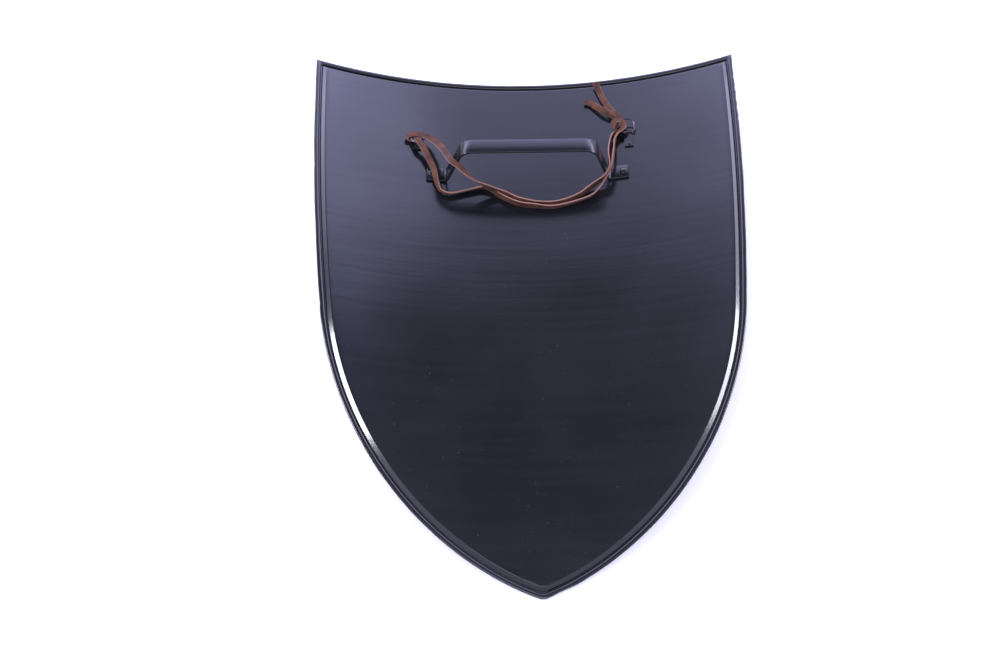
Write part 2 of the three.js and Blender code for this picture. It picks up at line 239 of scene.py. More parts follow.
def along_path(path):
    """The distance from the start to each point of a path."""
    return np.concatenate([[0], np.cumsum(np.linalg.norm(np.diff(path, axis=0), axis=1))])


def bumps(x, y, seed, waves, longest, shortest):
    """A soft random relief between about -1 and 1: a sum of seeded waves of mixed directions."""
    rng = np.random.default_rng(seed)
    total = np.zeros(np.broadcast(x, y).shape)
    for _ in range(waves):
        length = longest * (shortest / longest) ** rng.random()
        turn, phase = rng.random(2) * 2 * np.pi
        total += np.sin(2 * np.pi * (x * np.cos(turn) + y * np.sin(turn)) / length + phase)
    return total / np.sqrt(waves)


# %% [markdown]
# ## Finishes
#
# Three finishes cover the whole object. The black paint is satin: it has a soft sheen, so the
# plate mirrors the room only as broad lighter and darker areas. The rings are bare dark wire.
# The leather is brown with a fine grain, and its cut edges are paler than its faces.

# %% Node helpers
def node_tools(tree):
    """Three functions that add linked nodes to a node tree: any node, a mix and a colour ramp."""
    nodes, links = tree.nodes, tree.links

    def feed(socket, value):
        if isinstance(value, bpy.types.NodeSocket):
            links.new(value, socket)
        else:
            socket.default_value = value

    def add(kind, inputs=None, **settings):
        node = nodes.new(kind)
        for key, value in settings.items():
            setattr(node, key, value)
        for key, value in (inputs or {}).items():
            feed(node.inputs[key], value)
        return node

    def mix(factor, first, second):
        node = add("ShaderNodeMix", {0: factor, 6: first, 7: second}, data_type="RGBA")
        return node.outputs[2]

    def ramp(value, stops):
        """A ramp whose stops are places with a grey or with a colour."""
        node = add("ShaderNodeValToRGB", {0: value})
        elements = node.color_ramp.elements
        while len(elements) < len(stops):
            elements.new(0.5)
        for element, (place, shade) in zip(elements, stops):
            element.position = place
            element.color = (*(shade if np.ndim(shade) else (shade,) * 3), 1)
        return node.outputs[0]

    return add, mix, ramp


def new_material(name):
    """A material with only its shader and output, with its links and the tools that add nodes."""
    material = bpy.data.materials.new(name)
    material.use_nodes = True
    tree = material.node_tree
    return material, tree.nodes["Principled BSDF"], tree.links, *node_tools(tree)


# %% [markdown]
# ### Black paint
#
# Sprayed paint on sheet steel is never quite even. Broad, faint clouds change its colour and
# gloss, long faint streaks run across where it was wiped, and a fine orange peel breaks up the
# reflections. Small specks of dust and rubbed paint are lighter.

# %% Black paint
PAINT_DARK = (0.0036, 0.0046, 0.0062, 1)
PAINT_LIGHT = (0.0056, 0.0066, 0.0088, 1)
PAINT_STREAK = (0.0085, 0.0095, 0.0125, 1)
PAINT_DUST = (0.03, 0.031, 0.036, 1)
PAINT_ROUGHNESS = (0.14, 0.19)
PAINT_SPECULAR = 0.75


def black_paint():
    """Satin paint whose colour, gloss and relief vary with the place on the object, in metres."""
    material, shader, links, add, mix, ramp = new_material("black_paint")
    place = add("ShaderNodeTexCoord").outputs["Object"]
    cloud = add("ShaderNodeTexNoise", {"Vector": place, "Scale": 7, "Detail": 3, "Roughness": 0.5})
    clouds = cloud.outputs["Fac"]
    streak_place = add("ShaderNodeMapping", {"Vector": place, "Scale": (2.2, 60, 2.2)}).outputs[0]
    streak = add("ShaderNodeTexNoise", {"Vector": streak_place, "Scale": 2, "Detail": 4})
    streaks = streak.outputs["Fac"]
    specks = add("ShaderNodeTexNoise", {"Vector": place, "Scale": 420, "Detail": 2}).outputs["Fac"]
    dust = ramp(specks, ((0.70, 0), (0.78, 1)))
    base = mix(ramp(clouds, ((0.35, 0), (0.68, 1))), PAINT_DARK, PAINT_LIGHT)
    streaked = mix(ramp(streaks, ((0.45, 0), (0.75, 0.45))), base, PAINT_STREAK)
    links.new(mix(dust, streaked, PAINT_DUST), shader.inputs["Base Color"])
    rough = add("ShaderNodeMapRange", {
        "Value": clouds, "From Min": 0.3, "From Max": 0.7,
        "To Min": PAINT_ROUGHNESS[0], "To Max": PAINT_ROUGHNESS[1],
    })
    links.new(rough.outputs[0], shader.inputs["Roughness"])
    peel = add("ShaderNodeTexNoise", {"Vector": place, "Scale": 900, "Detail": 1}).outputs["Fac"]
    soft = add("ShaderNodeBump", {"Height": peel, "Strength": 0.05, "Distance": 0.0004})
    wiped = add("ShaderNodeBump", {
        "Height": streaks, "Strength": 0.10, "Distance": 0.0006, "Normal": soft.outputs[0],
    })
    links.new(wiped.outputs[0], shader.inputs["Normal"])
    shader.inputs["Specular IOR Level"].default_value = PAINT_SPECULAR
    shader.inputs["IOR"].default_value = 1.5
    return material


paint = black_paint()
print("made", paint.name)

# %% [markdown]
# ### Dark wire and leather
#
# The ring wire is darkened steel with its high spots rubbed bright. The leather's pattern runs
# along the thong, so it reads the thong's own map: one way round the section and the other way
# along its length. The narrow cut edges are paler, as the dye doesn't reach right through.

# %% Dark wire
WIRE_DARK = (0.045, 0.045, 0.055, 1)
WIRE_WORN = (0.28, 0.27, 0.31, 1)


def dark_wire():
    """Darkened steel: the same noise makes the rubbed places brighter, smoother and higher."""
    material, shader, links, add, mix, ramp = new_material("dark_steel")
    place = add("ShaderNodeTexCoord").outputs["Object"]
    rubbed = add("ShaderNodeTexNoise", {"Vector": place, "Scale": 260, "Detail": 3}).outputs["Fac"]
    worn = ramp(rubbed, ((0.45, 0), (0.62, 1)))
    links.new(mix(worn, WIRE_DARK, WIRE_WORN), shader.inputs["Base Color"])
    rough = add("ShaderNodeMapRange", {"Value": rubbed, "To Min": 0.45, "To Max": 0.25})
    links.new(rough.outputs[0], shader.inputs["Roughness"])
    pits = add("ShaderNodeBump", {"Height": rubbed, "Strength": 0.2, "Distance": 0.0003})
    links.new(pits.outputs[0], shader.inputs["Normal"])
    shader.inputs["Metallic"].default_value = 0.85
    return material


wire_steel = dark_wire()
print("made", wire_steel.name)

# %% Brown leather
LEATHER_DARK = (0.050, 0.019, 0.011, 1)
LEATHER_LIGHT = (0.135, 0.052, 0.032, 1)
LEATHER_FIBRE = (0.030, 0.012, 0.008, 1)
LEATHER_CUT = (0.25, 0.130, 0.100, 1)


def brown_leather():
    """U is 0 to 1 round the section, with the cut edges at 0, 0.5 and 1. V is metres along. The cosine
    of 4 pi U is 1 at both cut edges and -1 in the middle of both faces."""
    material, shader, links, add, mix, ramp = new_material("brown_leather")
    place = add("ShaderNodeTexCoord").outputs["Object"]
    strand = add("ShaderNodeUVMap", uv_map="UVMap").outputs[0]
    split = add("ShaderNodeSeparateXYZ", {0: strand})
    wave = add("ShaderNodeMath", {0: split.outputs["X"], 1: 4 * np.pi}, operation="MULTIPLY")
    edge = add("ShaderNodeMath", {0: wave.outputs[0]}, operation="COSINE").outputs[0]
    cut_edge = ramp(edge, ((0.66, 0), (0.86, 1)))
    patches = add("ShaderNodeTexNoise", {"Vector": place, "Scale": 70, "Detail": 3}).outputs["Fac"]
    fibres_place = add("ShaderNodeMapping", {"Vector": strand, "Scale": (30, 300, 1)}).outputs[0]
    fibres = add("ShaderNodeTexNoise", {"Vector": fibres_place, "Scale": 1, "Detail": 4}).outputs["Fac"]
    grain = add("ShaderNodeTexVoronoi", {"Vector": place, "Scale": 1500}).outputs["Distance"]
    face = mix(ramp(patches, ((0.35, 0), (0.65, 1))), LEATHER_DARK, LEATHER_LIGHT)
    face = mix(ramp(fibres, ((0.4, 0), (0.7, 0.5))), face, LEATHER_FIBRE)
    links.new(mix(cut_edge, face, LEATHER_CUT), shader.inputs["Base Color"])
    shader.inputs["Roughness"].default_value = 0.7
    shader.inputs["Specular IOR Level"].default_value = 0.2
    shader.inputs["Sheen Weight"].default_value = 0.05
    creases = add("ShaderNodeBump", {"Height": fibres, "Strength": 0.35, "Distance": 0.0004})
    pores = add("ShaderNodeBump", {
        "Height": grain, "Strength": 0.25, "Distance": 0.0002, "Normal": creases.outputs[0],
    })
    links.new(pores.outputs[0], shader.inputs["Normal"])
    return material


leather = brown_leather()
print("made", leather.name)

# %% [markdown]
# ## The thong
#
# One thong of flat leather, 8 mm wide and 2 mm thick, is threaded through the left ring, and both
# its ends are tied in a knot round the right ring. It has no stiffness to speak of: it lies on
# the plate and leans on the handle's legs. The route below is its middle line, and beside each
# point stands the way the flat face looks there: across, along and away from the plate. Flat on
# the plate that is 0, 0, 1, and where the thong stands on its edge it has no third part. The
# last number is the share of its width that the knot and the ring leave it.

# %% The thong's route
THONG_WIDTH = 8 * MM
THONG_THICK = 2.0 * MM
THONG_ROUTE = [
    # across, along, lift, then the face's direction, then the width's share
    (81, 600, 11.5, -0.3, 0.0, 1, 0.85),
    (85.5, 585, 10, -0.35, 0.0, 1, 0.85),
    (92, 567, 11, -0.4, 0.0, 1, 0.85),
    (99, 551, 17, -0.5, -0.1, 0.8, 0.75),
    (104.5, 543.5, 18.5, -0.3, 0.1, 0.9, 0.65),
    (109, 536.5, 15.5, 0.6, 0.4, 0.6, 0.55),
    (110.5, 533.5, 10.5, 1, 0.2, 0.1, 0.5),
    (106.5, 533.1, 7.4, 0.1, 0.1, -1, 0.5),
    (101, 530.5, 8.4, -0.8, 0.3, -0.4, 0.5),
    (95, 522, 11, -1, 0.4, 0, 0.75),
    (91, 505, 13, -1, 0, 0.05, 0.95),
    (90.5, 489, 20, -1, 0, 0.05, 1.0),
    (90.5, 470, 24.5, -0.95, 0.3, 0.1, 1.0),
    (86.5, 463.4, 22.5, -0.7, 0.7, 0.1, 1.0),
    (76.5, 460.5, 16, -0.5, 0.9, 0.05, 1.0),
    (66, 456, 11.5, -0.5, 0.9, 0, 1.0),
    (54, 448.5, 10, -0.45, 0.9, 0, 1.0),
    (26, 440, 10, -0.1, 1, 0, 1.0),
    (-8, 445.5, 10, 0.3, 1, 0, 1.0),
    (-24, 453, 11, 0.3, 0.95, 0.05, 1.0),
    (-41, 455, 18, 0.1, 0.95, 0.2, 1.0),
    (-52, 454, 26, 0.1, 0.8, 0.45, 1.0),
    (-63, 455, 33, 0.2, 0.5, 0.75, 1.0),
    (-72.5, 459, 39, 0.3, 0.2, 0.9, 1.0),
    (-80, 463.5, 42.5, 0.2, 0.1, 1, 1.0),
    (-87.5, 469.5, 42, 0.1, 0, 1, 1.0),
    (-92.5, 484, 35, 0, 0.1, 1, 1.0),
    (-97, 501, 24, 0, 0.1, 1, 1.0),
    (-105.5, 515.5, 17, 0, 0, 1, 0.95),
    (-113.5, 521.5, 14.5, 0, 0, 1, 0.8),
    (-121, 523, 14, 0, 0, 1, 0.7),
    (-128.5, 522, 13.8, -0.5, 0, 0.8, 0.7),
    (-132.4, 520.8, 10.6, -1, 0, 0, 0.65),
    (-129.6, 519.6, 7.9, -0.2, 0, -1, 0.6),
    (-126.4, 518.6, 9.2, 0.5, 0.2, -0.8, 0.6),
    (-122.8, 515.6, 14.2, 0.2, -0.3, -0.9, 0.7),
    (-118.6, 509.5, 16, 0, 0, -1, 0.75),
    (-113.5, 503, 14, 0.1, 0, -1, 0.8),
    (-108.5, 492, 13, 0.35, 0, -0.95, 0.85),
    (-103, 477, 13.2, 0.7, 0.1, -0.7, 0.85),
    (-99, 462, 11, 0.95, 0.2, -0.3, 0.8),
    (-95, 454, 10, 0.7, 0.75, 0.2, 0.75),
    (-86, 451, 10, 0, 0.9, 0.4, 0.8),
    (-73, 454.5, 10, -0.25, 0.85, 0.5, 0.9),
    (-60, 459, 10, -0.15, 0.85, 0.45, 0.9),
    (-48.5, 461.5, 10, 0.1, 0.9, 0.3, 0.9),
    (-39, 458, 10, 0.5, 0.85, 0, 1.0),
    (-31, 451.5, 10, 0.6, 0.8, 0, 1.0),
    (-10, 440.5, 10, 0.35, 0.95, 0, 1.0),
    (5, 437.8, 10, 0.1, 1, 0, 1.0),
    (26, 435.6, 10, -0.05, 1, 0.2, 1.0),
    (55.5, 442.5, 10, -0.4, 0.9, 0.4, 1.0),
    (70, 448.5, 10.5, -0.5, 0.8, 0.5, 1.0),
    (80.5, 458, 14, -0.7, 0.6, 0.5, 1.0),
    (87, 464.5, 19, -0.8, 0.5, 0.4, 1.0),
    (92, 473, 22, -0.95, 0.2, 0.2, 1.0),
    (95, 489, 18, -1, 0, 0.05, 1.0),
    (97, 505, 13.5, -1, 0.1, 0, 0.9),
    (98, 516, 12, -1, 0.2, 0, 0.75),
    (102, 524.5, 13, -0.6, 0.4, 0.5, 0.7),
    (108.5, 529.5, 15.5, -0.2, 0.3, 0.9, 0.85),
    (108, 535.5, 19.5, 0.3, 0.5, 0.8, 0.9),
    (101, 537, 19.5, -0.1, 0.2, 0.95, 0.95),
    (97, 533, 14.5, -0.8, -0.3, 0.5, 0.85),
    (99, 534.5, 9.5, -0.4, -0.4, -0.8, 0.7),
    (102.5, 540, 10.5, 0.5, -0.3, -0.6, 0.6),
    (100, 546.5, 12, 0.7, 0.6, -0.3, 0.8),
    (88, 558, 13, 0.35, 0.4, -0.8, 0.85),
    (80, 566, 11, 0.4, 0.5, -0.7, 0.85),
    (74, 573, 9.5, 0.2, 0.2, -0.95, 0.8),
    (67, 576, 9.5, 0.1, 0.1, -1, 0.55),
]

# %% [markdown]
# The band itself is a small rounded rectangle carried along that line. Its frame at each place is
# the tangent, the face's direction squared up to the tangent, and the direction left over, in
# which the width lies. Both ends are closed with square cuts.

# %% Thong mesh
THONG_STEPS = 10
THONG_SIDES = 28
FACE_SMOOTHING = 6


def flat_section(parts):
    """A rounded rectangle of width 2 and thickness 2 about the middle, as width and thickness shares,
    by the superellipse |x|^n + |y|^n = 1 with n = 6. It starts in the middle of one cut edge, and the
    cube roots gather its points at the corners, where the section turns."""
    angle = 2 * np.pi * np.arange(parts) / parts
    circle = np.stack([np.cos(angle), np.sin(angle)], -1)
    return np.sign(circle) * np.abs(circle) ** (1 / 3)


def thong():
    """The band along its route. Where its width is squeezed, it grows thicker instead."""
    route = np.array(THONG_ROUTE, float)
    places = bend(route[:, 0] * MM, route[:, 1] * MM, route[:, 2] * MM)
    axes = np.array([plate_axes(across) for across in route[:, 0] * MM])
    faces = unit(np.einsum("ni,nij->nj", route[:, 3:6], axes))
    for i in range(1, len(faces)):
        if faces[i] @ faces[i - 1] < -0.35:
            faces[i:] *= -1
    path = smooth_path(places, THONG_STEPS)
    share = np.arange(len(path)) / THONG_STEPS
    looks = np.stack([np.interp(share, np.arange(len(route)), faces[:, k]) for k in range(3)], -1)
    squeeze = np.interp(share, np.arange(len(route)), route[:, 6])
    tangents = path_tangents(path)
    normals = looks - (looks * tangents).sum(1, keepdims=True) * tangents
    for _ in range(FACE_SMOOTHING):
        normals = unit(normals)
        normals[1:-1] = (normals[:-2] + 2 * normals[1:-1] + normals[2:]) / 4
        normals -= (normals * tangents).sum(1, keepdims=True) * tangents
    normals = unit(normals)
    widths = np.cross(tangents, normals)
    length = along_path(path)
    ragged = 1 + 0.035 * bumps(length, 0 * length, 5, 9, 0.09, 0.015)
    wide = THONG_WIDTH / 2 * squeeze * ragged
    thick = THONG_THICK / 2 * (1 + 0.45 * (1 - squeeze))
    scale = np.stack([wide, thick], -1)
    points = swept(path, widths, normals, flat_section(THONG_SIDES), scale)
    rows, columns = points.shape[:2]
    # The section's first column is repeated, so that the map's seam has a point on each side.
    points = np.concatenate([points, points[:, :1]], axis=1)
    uv = np.stack(np.broadcast_arrays(np.arange(columns + 1) / columns, length[:, None]), -1)
    faces = [*grid_quads(rows, columns + 1), *closed_ends(rows, columns, columns + 1)]
    points, uv = points.reshape(-1, 3), uv.reshape(-1, 2)
    piece = make_piece("thong", points, faces, ["leather_thong"], uv)
    piece.data.materials.append(leather)
    return piece, path, length[-1]


thong_piece, thong_line, thong_length = thong()
print("thong length", round(thong_length, 3), "m")

# %% [markdown]
# ## The plate
#
# The plate is one closed surface: a long strip that runs round the outline, from the front of the
# sunk field, down the step, round the rolled edge and up the step's back, and two sheets that fill
# the field in front and behind. The rolled edge was closed with a hammer, so it has small dents,
# most of them near the right top corner, and the sheet is very slightly uneven.

# %% Plate outline
LOWER_STEPS = 120
UPPER_STEPS = 60
ACROSS_STEPS = 110
SIDE_POINTS = LOWER_STEPS + UPPER_STEPS + 1
ROLL_STEPS = 26
FRONT_BEND = 1.0 * MM
FOOT_CORNER = 0.7 * MM
FIELD_CORNER = 1.6 * MM


def side_line(inset):
    """The right side, set in from the edge: the lower arc from the tip and the upper arc to the top.
    Near the tip the side is drawn in by an exponential of the height above it."""
    lower, upper = LOWER_RADIUS - inset, UPPER_RADIUS - inset
    tip_angle = np.arcsin((tip_rise + inset - lower_centre[1]) / lower)
    top_angle = -np.arcsin(inset / upper)
    low = np.linspace(tip_angle, join_angle, LOWER_STEPS, endpoint=False)
    high = np.linspace(join_angle, top_angle, UPPER_STEPS + 1)

    def arc(centre, radius, angle):
        return centre + radius * np.stack([np.cos(angle), np.sin(angle)], -1)

    line = np.vstack([arc(lower_centre, lower, low), arc(upper_centre, upper, high)])
    line[:, 0] -= TIP_DRAW * np.exp((tip_rise - line[:, 1]) / TIP_REACH)
    return line


def dent(place, centre, width):
    """A soft dimple of unit depth in a line: a bell curve of that width round its centre."""
    return np.exp(-(((place - centre) / width) ** 2))


def rim_dents(along, right):
    """How far the edge is pushed in at a height above the tip: a few slow waves, on the left one small
    dent, and on the right a row of small crimps near the top corner and one dent by the tip."""
    slow = 0.16 * MM * bumps(along, 0 * along + (0.3 if right else 0.9), 11, 8, 0.12, 0.03)
    if not right:
        return slow + 0.5 * MM * dent(along, 0.30, 0.004)
    row_start, row_end, spacing = 0.505, 0.600, 0.0145
    row = np.clip((along - row_start) / 0.02, 0, 1) * np.clip((row_end - along) / 0.01, 0, 1)
    crimps = 0.75 * MM * row * (0.5 + 0.5 * np.cos(2 * np.pi * (along - row_start) / spacing))
    by_tip = 1.3 * MM * dent(along, 0.0105, 0.0035) - 0.7 * MM * dent(along, 0.0175, 0.003)
    return slow + crimps + by_tip


def outline(inset):
    """The closed outline set in from the edge: right side, top edge, left side and blunt tip, all at one
    inset. The dents fade out from the edge to the flat band."""
    side = side_line(inset)
    fade = np.clip(1 - inset / STEP_START, 0, 1)
    right, left = side.copy(), side.copy()
    right[:, 0] -= fade * rim_dents(side[:, 1], True)
    left[:, 0] -= fade * rim_dents(side[:, 1], False)
    left[:, 0] *= -1
    share = (np.arange(1, ACROSS_STEPS) / ACROSS_STEPS)[:, None]
    top = right[-1] + (left[-1] - right[-1]) * share
    tip = left[0] + (right[0] - left[0]) * share
    return np.vstack([right, top, left[::-1], tip])


def border_section():
    """The border as inset and lift, from the field's front round the roll to the field's back. The
    bends of the step are parabolas, and the roll is most of an ellipse."""
    slope = np.arctan2(STEP_RISE, STEP_RUN)
    shift = SHEET * np.tan(slope / 2)

    def rounded(corner, before, after, radius, parts=5):
        back, onward = unit(np.array(before) - corner), unit(np.array(after) - corner)
        half = np.arccos(back @ onward) / 2
        reach = radius / np.tan(half)
        t = np.linspace(0, 1, parts)[:, None]
        start, end = corner + back * reach, corner + onward * reach
        return (1 - t) ** 2 * start + 2 * t * (1 - t) * corner + t**2 * end

    front_top = np.array([STEP_START + STEP_RUN + shift, STEP_RISE])
    front_foot = np.array([STEP_START + shift, 0])
    back_foot = np.array([STEP_START, SHEET])
    back_top = np.array([STEP_START + STEP_RUN, FIELD_BACK])
    last = np.pi + np.arcsin(1 - SHEET / ROLL_HALF_HEIGHT)
    angle = np.linspace(-np.pi / 2, last, ROLL_STEPS)
    half_axes = np.array([ROLL_HALF_WIDTH, ROLL_HALF_HEIGHT])
    roll = half_axes * np.stack([1 - np.cos(angle), 1 + np.sin(angle)], -1)
    inward = np.array([STEP_START + STEP_RUN + 0.02, STEP_RISE])
    return np.vstack([
        rounded(front_top, inward, front_foot, FRONT_BEND),
        rounded(front_foot, front_top, roll[0], FRONT_BEND),
        roll,
        rounded(back_foot, roll[-1], back_top, FOOT_CORNER),
        rounded(back_top, back_foot, inward + [0, SHEET], FIELD_CORNER),
    ])


section = border_section()
print("border section", len(section), "points")

# %% [markdown]
# Each point of the section gives one loop round the shield, set in by its inset and raised by its
# lift. The first and the last loop also bound the two fields, which are filled with rows from one
# side to the other. Everything is bent round only at the end.

# %% Plate mesh
PLANISHING = 0.10 * MM
CALM_BORDER = 0.03


def planished(across, along):
    """The field's slight unevenness from hammer and press: soft, shallow dents of mixed lengths."""
    return PLANISHING * bumps(across, along, 3, 24, 0.35, 0.09)


def field_rows(loop, lift):
    """Fills a closed loop with straight rows from its right side to its left, tip row first. The
    unevenness fades out towards the border."""
    right = loop[:SIDE_POINTS]
    left = loop[SIDE_POINTS + ACROSS_STEPS - 1:][:SIDE_POINTS][::-1]
    share = (np.arange(ACROSS_STEPS + 1) / ACROSS_STEPS)[None, :, None]
    flat = right[:, None] + (left - right)[:, None] * share
    depth = np.minimum(flat[..., 1] - tip_rise, np.minimum(share[..., 0], 1 - share[..., 0]) * 0.4)
    fade = np.clip(depth / CALM_BORDER, 0, 1)
    return flat, lift + fade * planished(flat[..., 0], flat[..., 1])


def shield_plate():
    """The border strip and both fields, welded along the two loops they share."""
    loops = [outline(inset) for inset, _ in section]
    count = len(loops[0])
    border = np.vstack([
        bend(loop[:, 0], loop[:, 1], lift) for loop, (_, lift) in zip(loops, section)
    ])
    quads = [grid_quads(len(section), count, wrap=True)]
    points = [border]
    for end, flip in ((0, False), (len(section) - 1, True)):
        flat, lift = field_rows(loops[end], section[end][1])
        start = sum(len(p) for p in points)
        points.append(bend(flat[..., 0], flat[..., 1], lift).reshape(-1, 3))
        sheet = grid_quads(SIDE_POINTS, ACROSS_STEPS + 1, start=start)
        quads.append(sheet[:, ::-1] if flip else sheet)
    mesh_points, mesh_quads = np.vstack(points), np.vstack(quads)
    piece = make_piece("plate", mesh_points, mesh_quads, ["shield_plate"])
    weld(piece)
    piece.data.materials.append(paint)
    return piece


shield_plate()

# %% [markdown]
# ## The handle
#
# The handle is one strap of steel bent to a staple: a flat grip, two splayed legs and two feet
# that lie on the plate. Its section is a rectangle with its long edges eased by a file, and it is
# carried along the strap's middle line, which is straight runs joined by arcs.

# %% Handle dimensions and line
HANDLE_ALONG = 476 * MM
STRAP_WIDTH = 16.4 * MM
STRAP = 2.5 * MM
GRIP_TOP = 64 * MM
GRIP_HALF = 69 * MM
LEG_FOOT_HALF = 88 * MM
FOOT_END_HALF = 110 * MM
GRIP_BEND = 14 * MM
FOOT_BEND = 5 * MM
HANDLE_RIVET_ACROSS = 104.5 * MM
SEAT = 0.6 * MM
STRAP_EDGE = 0.55 * MM
BEND_STEPS = 12
STRAP_STEP = 2.5 * MM
FEET_ROUND_FROM = 0.955


def rounded_line(corners, parts):
    """Straight runs with an arc at each inner corner: the arc's centre lies on the corner's bisector,
    at radius over the sine of half the angle between the runs."""
    line = [corners[0][0][None]]
    for (before, _), (corner, radius), (after, _) in zip(corners, corners[1:], corners[2:]):
        back, onward = unit(before - corner), unit(after - corner)
        half = np.arccos(back @ onward) / 2
        centre = corner + unit(back + onward) * radius / np.sin(half)
        start = corner + back * radius / np.tan(half) - centre
        end = corner + onward * radius / np.tan(half) - centre
        turn = np.arctan2(start[0] * end[1] - start[1] * end[0], start @ end)
        angle = np.linspace(0, turn, parts)[:, None]
        across = np.array([-start[1], start[0]])
        line.append(centre + np.cos(angle) * start + np.sin(angle) * across)
    line.append(corners[-1][0][None])
    return np.vstack(line)


def evenly(line, step):
    """The same line with points at most about step apart, its own points kept."""
    parts = [line[:1]]
    for a, b in zip(line, line[1:]):
        count = max(1, int(np.ceil(np.linalg.norm(b - a) / step)))
        parts.append(a + (b - a) * (np.arange(1, count + 1) / count)[:, None])
    return np.vstack(parts)


def handle_line():
    """The strap's middle line in the X-Z plane, from the left foot's end to the right one's."""
    seat = FIELD_BACK + SEAT + STRAP / 2
    mirror = np.array([-1, 1])
    end, heel = (bend(across, HANDLE_ALONG, seat)[[0, 2]] for across in (FOOT_END_HALF, LEG_FOOT_HALF))
    shoulder = np.array([GRIP_HALF, GRIP_TOP - STRAP / 2])
    corners = [
        (mirror * end, 0), (mirror * heel, FOOT_BEND), (mirror * shoulder, GRIP_BEND),
        (shoulder, GRIP_BEND), (heel, FOOT_BEND), (end, 0),
    ]
    return evenly(rounded_line(corners, BEND_STEPS), STRAP_STEP)


def eased_rectangle(width, height, radius, parts=4):
    """A rectangle with its corners rounded by quarter circles."""
    turns = np.concatenate([np.linspace(q, q + 90, parts + 1) for q in (0, 90, 180, 270)])
    quarter = np.repeat(np.arange(4), parts + 1)
    middle_x = np.array([1, -1, -1, 1])[quarter] * (width / 2 - radius)
    middle_y = np.array([1, 1, -1, -1])[quarter] * (height / 2 - radius)
    turns = np.radians(turns)
    return np.stack([middle_x + radius * np.cos(turns), middle_y + radius * np.sin(turns)], -1)


def handle():
    """The strap along its line. Its feet narrow a little to their rounded ends."""
    flat = handle_line()
    path = np.stack([flat[:, 0], np.full(len(flat), HANDLE_ALONG - middle), flat[:, 1]], -1)
    tangents = path_tangents(path)
    sideways = np.tile([0.0, 1.0, 0.0], (len(path), 1))
    upward = np.cross(tangents, sideways)
    ends = np.abs(path[:, 0]) / FOOT_END_HALF
    last_bit = np.clip((ends - FEET_ROUND_FROM) / (1 - FEET_ROUND_FROM), 0, 1)
    round_end = np.sqrt(1 - 0.55 * last_bit**2)
    wear = 1 + 0.012 * bumps(path[:, 0], 0 * path[:, 0], 21, 8, 0.08, 0.02)
    scale = np.stack([round_end * wear, np.ones(len(path))], -1)
    points = swept(path, sideways, upward, eased_rectangle(STRAP_WIDTH, STRAP, STRAP_EDGE), scale)
    rows, columns = points.shape[:2]
    faces = [*grid_quads(rows, columns, wrap=True), *closed_ends(rows, columns)]
    piece = make_piece("grip_strap", points.reshape(-1, 3), faces, ["handle"])
    weld(piece)
    piece.data.materials.append(paint)
    return piece


handle()

# %% [markdown]
# ## Rivets
#
# Every rivet has a low dome on the back, and a second one on the front of the plate where it was
# set. A dome is a profile turned about the rivet's axis, so the surface is a function of the
# distance along the profile and the angle round the axis.

# %% Rivets
RIVET_SIDES = 40
DOME_STEPS = 10
RIVET_LIP = 0.25 * MM
HANDLE_RIVET = {"shank": 2.2 * MM, "head": 3.8 * MM, "dome": 1.3 * MM}
CLIP_RIVET = {"shank": 1.3 * MM, "head": 2.3 * MM, "dome": 0.9 * MM}
CLIP_WIDTH = 9.3 * MM
CLIP_SHEET = 0.9 * MM
CLIP_LENGTH = 19 * MM
CLIP_RIVET_FROM_BAR = 15.8 * MM
WIRE_RADIUS = 0.9 * MM
RING_HALF = 7.3 * MM
RING_CORNER = 2.5 * MM
RING_SIDE = 7.4 * MM
BAR_LIFT = 8.6 * MM
FOOT_BOW = 0.2 * MM
GAP = 0.3 * MM
CLIPS = {
    "left": {"across": -121 * MM, "along": 527 * MM, "tilt": 165},
    "right": {"across": 113 * MM, "along": 528.5 * MM, "tilt": 20},
}


def placed(points, across, along, lift):
    """Points given across, along and away from the plate, put at a place on the bent plate."""
    return np.asarray(points) @ plate_axes(across) + bend(across, along, lift)


def rivet(name, node, across, along, shank, head, dome, grip):
    """A turned profile: a front dome, the shank, and a back dome over what it holds. Each dome is a
    quarter ellipse that stands on a short upright lip."""
    front, back = -SHEET - GAP, SEAT + grip + GAP
    turn = np.linspace(0, np.pi / 2, DOME_STEPS)
    out, up = head * np.sin(turn), RIVET_LIP + (dome - RIVET_LIP) * np.cos(turn)
    lower = np.stack([out, front - up], -1)
    upper = np.stack([out, back + up], -1)[::-1]
    shank_line = [[head, front], [shank, front], [shank, back], [head, back]]
    profile = np.vstack([lower, shank_line, upper])
    around = 2 * np.pi * np.arange(RIVET_SIDES) / RIVET_SIDES
    points = np.stack([
        profile[:, :1] * np.cos(around),
        profile[:, :1] * np.sin(around),
        np.broadcast_to(profile[:, 1:], (len(profile), len(around))),
    ], -1)
    rows, columns = points.shape[:2]
    faces = grid_quads(rows, columns, wrap=True)
    seated = placed(points.reshape(-1, 3), across, along, FIELD_BACK)
    piece = make_piece(name, seated, faces, [node])
    weld(piece)
    piece.data.materials.append(paint)
    return piece


for side, sign in (("left", -1), ("right", 1)):
    rivet(
        f"grip_rivet_{side}", f"handle_rivet_{side}", sign * HANDLE_RIVET_ACROSS, HANDLE_ALONG,
        grip=STRAP + FOOT_BOW, **HANDLE_RIVET,
    )
    spot = CLIPS[side]
    rivet(
        f"tab_rivet_{side}", f"clip_rivet_{side}", spot["across"], spot["along"] - CLIP_RIVET_FROM_BAR,
        grip=2 * CLIP_SHEET, **CLIP_RIVET,
    )

# %% [markdown]
# ## Clips and D-rings
#
# A clip is a strip folded in two round the ring's bar and riveted flat. Its side view is drawn
# once, as a line round the roll and along both leaves, and given the strip's width. A ring is
# round wire bent to a D: a straight bar with two tight corners, two short sides and a half circle.

# %% Clips
CLIP_EASING = 0.25 * MM
CLIP_SHRINK = 0.12 * MM
CLIP_ROLL_STEPS = 40


